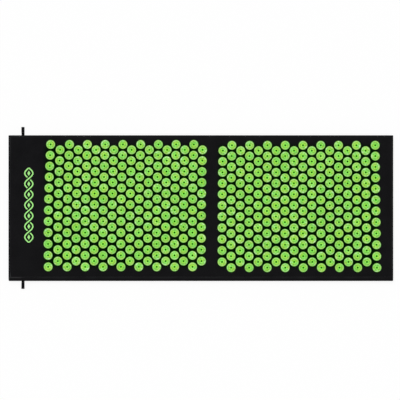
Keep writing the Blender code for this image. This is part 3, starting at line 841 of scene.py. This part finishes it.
def makeStrap(name, side, reach, look):
    # The strap's section, a flat superellipse, carried along its path and closed at both ends
    path = strapPath(look, reach)
    way = unit(np.gradient(path, axis=0))
    angle = np.arange(look["sides"]) * tau / look["sides"]
    across = signedPower(np.cos(angle), look["powers"][0]) * look["width"] / 2
    thick = signedPower(np.sin(angle), look["powers"][1]) * look["thickness"] / 2
    out = path[:, :1] - way[:, 1:] * thick
    height = np.maximum(path[:, 1:] + way[:, :1] * thick, look["leastHeight"])
    y = side * (look["wall"] + look["rootGap"] + out)
    points = np.stack([np.broadcast_to(look["x"] + across, y.shape), y, height], -1)
    steps = np.linalg.norm(np.diff(path, axis=0), axis=1)
    travel = np.concatenate([[0], np.cumsum(steps)])
    flat = np.stack(np.broadcast_arrays(across, travel[:, None]), -1)
    faceSets = tubeFaces(len(path), look["sides"], flipped=side > 0)
    return makePiece(name, points.reshape(-1, 3), faceSets, strapWebbing, flatMap=flat.reshape(-1, 2))


for end, side in (("far", 1), ("near", -1)):
    strap = makeStrap("strapLoop" + end.title(), side, strapLook["reach"][end], strapLook)
    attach(strap, end + "_loop")
    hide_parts("strap_loop_" + end)
print("straps made")


zipLook = {
    "middle": 8.5, "tapeInner": 0.6, "tapeWidth": 6.2, "tapeX": (-646.9, -646.4), "tapeHalf": 226.0,
    "tapeThin": 0.08, "tapeEdge": (0.3, 1.0), "tapeStep": 6.0,
    "tapeSamples": (0, 0.04, 0.12, 0.2, 0.5, 0.9, 1.0),
    "coilX": (-648.15, -647.2), "coilHalf": 217.2, "toothPitch": 1.5, "toothWidth": 0.95,
    "toothReach": (-0.55, 2.6), "toothSides": 6, "rowShift": 0.25,   # of a pitch, one row each way
    "sections": [(0, 0.3), (0.08, 0.9), (0.22, 1.12), (0.4, 0.8), (0.94, 0.8), (1.0, 0.4)],   # place, size
}


def makeTape(name, way, look):
    # A thin closed strip with a thicker woven edge beside the coil
    ys = spaced(-look["tapeHalf"], look["tapeHalf"], look["tapeStep"])
    zs = look["middle"] + way * (look["tapeInner"] + look["tapeWidth"] * np.array(look["tapeSamples"]))
    y, z = np.meshgrid(ys, zs, indexing="ij")
    across = np.abs(z - look["middle"]) - look["tapeInner"]
    outerX, innerX = look["tapeX"]
    outer = outerX + look["tapeThin"] * smooth(*look["tapeEdge"], across)
    outer = np.where(border(y.shape), (outerX + innerX) / 2, outer)
    inner = np.full(y.shape, innerX)
    points, faces, _ = closedSheet(np.stack([outer, y, z], -1), np.stack([inner, y, z], -1))
    faces = faces[:, ::-1] if way > 0 else faces
    return makePiece(name, points, [faces], tapeCloth, flatMap=points[:, 1:])


def makeTeeth(name, way, look):
    # Coil teeth: short many-sided bars across the zip with a swelling at the inner end
    count, sides = int(2 * look["coilHalf"] / look["toothPitch"]), look["toothSides"]
    middle = (np.arange(count) - (count - 1) / 2 + way * look["rowShift"]) * look["toothPitch"]
    share, size = np.array(look["sections"]).T[..., None]
    angle = (np.arange(sides) + 0.5) * tau / sides
    (outerX, innerX), (low, high) = look["coilX"], look["toothReach"]
    x = (outerX + innerX) / 2 + np.minimum(size, 1.0) * np.cos(angle) * (innerX - outerX) / 2
    y = size * np.sin(angle) * look["toothWidth"] / 2
    z = look["middle"] + way * (low + (high - low) * share)
    tooth = np.stack(np.broadcast_arrays(x, y, z), -1).reshape(-1, 3)
    places = np.column_stack([np.zeros(count), middle, np.zeros(count)])
    points, faceSets = repeated(tooth, tubeFaces(len(size), sides, flipped=way < 0), places, np.zeros(count))
    return makePiece(name, points, faceSets, zipNylon)


for key, way in (("Upper", 1), ("Lower", -1)):
    tape = makeTape("zipTape" + key, way, zipLook)
    teeth = makeTeeth("zipTeeth" + key, way, zipLook)
    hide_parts("zip_tape_" + key.lower())
    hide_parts("zip_coil_" + key.lower())
    for piece in (tape, teeth):
        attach(piece, "left_half")
print("zip rows made")


def outlineIn(ys, zs, power, count):
    # The closed curve |y / half y|^n + |z / half z|^n = 1 that fills a rectangle
    half = np.array([ys[1] - ys[0], zs[1] - zs[0]]) / 2
    ring = circle(np.arange(count) * tau / count)
    return signedPower(ring, 2 / power) * half + (ys[0] + half[0], zs[0] + half[1])


def narrowed(outline, share):
    # An outline drawn in towards its middle height where share is under 1
    middle = (outline[:, 1].min() + outline[:, 1].max()) / 2
    return np.column_stack([outline[:, 0], middle + (outline[:, 1] - middle) * share])


def plateShape(outline, depths, rounding, window=None):
    # An upright plate of an outline (y, z) between two depths x: rings from inside one face, over
    # the rounded edge, to inside the other. Caps close the faces, or rings round a window. edge is
    # how much each ring is rubbed
    low, high = depths
    away = unit(outline - outline.mean(0))
    share = min(rounding / (high - low), 0.5)
    inner = outline - away * rounding * 3 if window is None else window
    eased = outline - away * rounding
    rings = [(inner, 0), (eased, 0), (outline, share), (outline, 1 - share), (eased, 1), (inner, 1)]
    points = [np.insert(flat, 0, low + (high - low) * depth, axis=1) for flat, depth in rings]
    faceSets = tubeFaces(len(rings), len(outline))
    if window is not None:
        faceSets = [gridFaces(len(rings), len(outline), ringRows=True, ringColumns=True)[:, ::-1]]
    edge = np.repeat([0.2, 0.8, 1.0, 1.0, 0.8, 0.2], len(outline))
    return np.concatenate(points), faceSets, edge


def tube(path, across, radiusA, radiusB, sides):
    # An ellipse carried along a path, closed at both ends by a cap
    beside = np.cross(unit(np.gradient(path, axis=0)), across)[:, None]
    c, s = circle(np.arange(sides) * tau / sides).T[..., None]
    points = path[:, None] + c * across * radiusA + s * beside * radiusB
    return points.reshape(-1, 3), tubeFaces(len(path), sides)


sliderLook = {
    "y": (208.7, 217.7), "z": (5.0, 12.0), "plates": ((-649.25, -648.5), (-646.1, -645.3)),
    "outline": (4.0, 28), "rounding": 0.25, "taper": 0.22,     # the outline's power and its points
    "neckY": (214.7, 216.9), "neckZ": (8.0, 9.0), "necks": ((-648.8, -648.2), (-647.15, -645.8)),
    "neckOutline": (3.0, 12), "neckRounding": 0.05, "neckRubbed": 0.5,
    "bailX": -648.9, "bailRise": 1.7, "bailY": 213.2, "bailHalf": 1.2, "bailWire": (0.8, 0.22),
    "bailPower": 0.7, "bailPoints": 11, "bailSides": 8, "bailRubbed": 0.9,
}


def makeSlider(look):
    # Two shield-shaped plates, each with its half of the neck, and a bail bent over the outer one.
    # The halves stop at the teeth, which are drawn closed wherever the slider stands
    outline = outlineIn(look["y"], look["z"], *look["outline"])
    taper = look["taper"] * smooth(look["y"][1] - 1, look["y"][0], outline[:, 0])
    outline = narrowed(outline, 1 - taper)
    neck = outlineIn(look["neckY"], look["neckZ"], *look["neckOutline"])
    plates = [plateShape(outline, depths, look["rounding"]) for depths in look["plates"]]
    necks = [plateShape(neck, depths, look["neckRounding"]) for depths in look["necks"]]
    angle = np.linspace(0, np.pi, look["bailPoints"])
    middle = np.full(len(angle), sum(look["z"]) / 2)
    path = np.stack([look["bailX"] - np.sin(angle) ** look["bailPower"] * look["bailRise"],
                     look["bailY"] + np.cos(angle) * look["bailHalf"], middle], -1)
    bail = tube(path, np.array([0.0, 0.0, 1.0]), *look["bailWire"], look["bailSides"])
    edges = [plate[2] for plate in plates] + [neck[2] * look["neckRubbed"] for neck in necks]
    edges.append(np.full(len(bail[0]), look["bailRubbed"]))
    points, faceSets = joined([plate[:2] for plate in plates + necks] + [bail])
    return makePiece("zipSlider", points, faceSets, blackMetal, {"edge": np.concatenate(edges)})


pullLook = {
    "x": (-650.1, -649.6), "y": (191.2, 213.55), "z": (5.5, 11.5), "outline": (5.0, 40), "rounding": 0.12,
    "waist": 0.2, "waistPlace": 205.55, "waistWidth": 4.0,
    "windowY": (209.5, 212.9), "windowZ": (7.35, 9.65),
}


def makePlate(name, outline, look, window=None):
    # A piece that is one plate
    points, faceSets, edge = plateShape(outline, look["x"], look["rounding"], window)
    return makePiece(name, points, faceSets, blackMetal, {"edge": edge})


def makePull(look):
    # A flat tab with a window for the bail and a narrower waist beside it
    outline = outlineIn(look["y"], look["z"], *look["outline"])
    waist = look["waist"] * bump(outline[:, 0], look["waistPlace"], look["waistWidth"])
    outline = narrowed(outline, 1 - waist)
    window = outlineIn(look["windowY"], look["windowZ"], *look["outline"])
    return makePlate("zipPull", outline, look, window)


stopLook = {"x": (-648.2, -647.2), "far": (218.25, 219.75), "near": (-219.75, -218.25), "z": (5.9, 11.1),
            "outline": (4.0, 16), "rounding": 0.22}


def makeStop(end, look):
    # A clamp of bent metal over both rows, with rounded edges
    return makePlate("zipStop" + end.title(), outlineIn(look[end], look["z"], *look["outline"]), look)


metal = [(makeSlider(sliderLook), "slider", "zip_slider"), (makePull(pullLook), "pull", "zip_pull"),
         (makeStop("far", stopLook), "left_half", "zip_stop_far"),
         (makeStop("near", stopLook), "left_half", "zip_stop_near")]
for piece, body, node in metal:
    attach(piece, body)
    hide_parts(node)
print("zip metal made")


ornamentLook = {
    "x": -581.5, "y": 10.0, "length": 252.0, "swing": 13.6, "eyes": 7, "strand": 4.2, "gap": 1.5,
    "film": 0.22, "lift": -0.06, "seed": (4.8, 8.5), "seedPower": 0.9, "endLength": 9.0,
    "crossing": 0.62, "eyePoints": 24, "seedPoints": 9,      # crossing is in strands
}


def filmStrip(centre, normal, half, look, keepSide=0):
    # A thin closed strip of ink along a line, on the cloth; half is its half width at each point.
    # keepSide, 1 or -1, keeps the rope's ends to that side of its middle line, so that they meet
    left, right = centre + normal * half[:, None], centre - normal * half[:, None]
    edges = np.stack([left, left, right, right], 1)
    if keepSide:
        ends = np.abs(centre[:, 1] - look["y"]) > look["length"] / 2 - look["endLength"]
        beside = np.maximum((edges[..., 0] - look["x"]) * keepSide, 0.02) * keepSide
        edges[..., 0] = np.where(ends[:, None], look["x"] + beside, edges[..., 0])
    rise = np.array([0, 1, 1, 0]) * look["film"]
    cloth = coverLook["top"] + clothWaves(coverLook, edges[..., 0], edges[..., 1])
    points = np.concatenate([edges, (cloth + rise + look["lift"])[..., None]], -1)
    return points.reshape(-1, 3), tubeFaces(len(centre), 4, flipped=True)


def makeOrnament(look):
    # A rope of two strands, x = swing * sin(turns) and its mirror image. Each passes under the
    # other at every other crossing, where it is cut off, and a lozenge stands in each eye
    eyes, eye = look["eyes"], look["length"] / look["eyes"]
    start = look["y"] - look["length"] / 2
    wave = np.pi / eye
    cut = look["gap"] + look["strand"] * look["crossing"]
    parts = []
    for way, firstUnder in ((1, 1), (-1, 2)):
        stops = [0, *range(firstUnder, eyes, 2), eyes]
        for first, last in zip(stops, stops[1:]):
            low, high = first * eye + cut * (first > 0), last * eye - cut * (last < eyes)
            along = np.linspace(low, high, look["eyePoints"] * (last - first))
            slope = way * look["swing"] * wave * np.cos(along * wave)
            normal = unit(np.stack([np.ones_like(slope), -slope], -1))
            centre = np.stack([look["x"] + way * look["swing"] * np.sin(along * wave), start + along], -1)
            parts.append(filmStrip(centre, normal, np.full(len(along), look["strand"] / 2), look, way))
    t = np.linspace(-1, 1, look["seedPoints"])
    seedHalf, seedReach = look["seed"]
    half = seedHalf * np.maximum(1 - np.abs(t), 0.02) ** look["seedPower"]
    for k in range(eyes):
        centre = np.stack([np.full(len(t), look["x"]), start + (k + 0.5) * eye + t * seedReach], -1)
        parts.append(filmStrip(centre, np.array([1.0, 0.0]), half, look))
    return makePiece("printedOrnament", *joined(parts), greenInk)


ornament = makeOrnament(ornamentLook)
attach(ornament, "left_half")
print("ornament made")


studio = {
    "sky": 0.62, "sun": 1.42, "sunAngle": 40.0, "sunTurn": (-26.0, -14.0),
    "floorColour": (0.94, 0.94, 0.94), "glow": 0.90, "floorHalf": 9000.0, "floorZ": -0.4,
    "lens": 200.0, "cameraHeight": 7.533, "middle": (-0.0029, 0.0275),
}


def whiteWorld(look):
    # Light of one strength, and plain white where the camera or a reflection looks at it
    world = bpy.data.worlds.new("studio")
    bpy.context.scene.world = world
    shades = Shades(world)
    shades.tree.nodes.clear()
    seen = shades.node("LightPath", output="Is Camera Ray")
    for key in ("Is Glossy Ray", "Is Transmission Ray"):
        seen = seen.maths("MAXIMUM", shades.node("LightPath", output=key))
    lit, white = (shades.node("Background", inputs={0: (1, 1, 1), 1: power}) for power in (look["sky"], 1.0))
    mix = shades.node("MixShader", inputs={0: seen, 1: lit, 2: white})
    shades.node("OutputWorld", inputs={0: mix})


def paleFloor(look):
    # A wide plane whose white is mostly its own where the camera looks, so that a soft shadow stays
    plain = {"Base Color": look["floorColour"], "Roughness": 1.0, "Specular IOR Level": 0.0}
    finish = Finish("studioFloor", plain)
    glow = finish.node("Emission", inputs={0: (1.0, 1.0, 1.0), 1: 1.0})
    camera = finish.node("LightPath", output="Is Camera Ray")
    paper = Value(finish, finish.shader.outputs[0])
    mix = finish.node("MixShader", inputs={0: camera * look["glow"], 1: paper, 2: glow})
    finish.feed(finish.tree.nodes["Material Output"], {0: mix})
    half = look["floorHalf"]
    corners = rectangle((-half, -half), (half, half), look["floorZ"])
    makePiece("studioFloorPlane", corners, [np.array([[0, 1, 2, 3]])], finish.material)


whiteWorld(studio)
paleFloor(studio)
sun = placed("key", bpy.data.lights.new("key", "SUN"))
sun.data.energy = studio["sun"]
sun.data.angle = np.radians(studio["sunAngle"])
sun.rotation_euler = (*np.radians(studio["sunTurn"]), 0)

camera = placed("camera", bpy.data.cameras.new("camera"))
camera.data.lens = studio["lens"]
camera.data.sensor_width = 36.0
camera.location = (*studio["middle"], studio["cameraHeight"])
camera.data.clip_end = 100.0
bpy.context.scene.camera = camera
print("studio made")

bpy.context.view_layer.update()
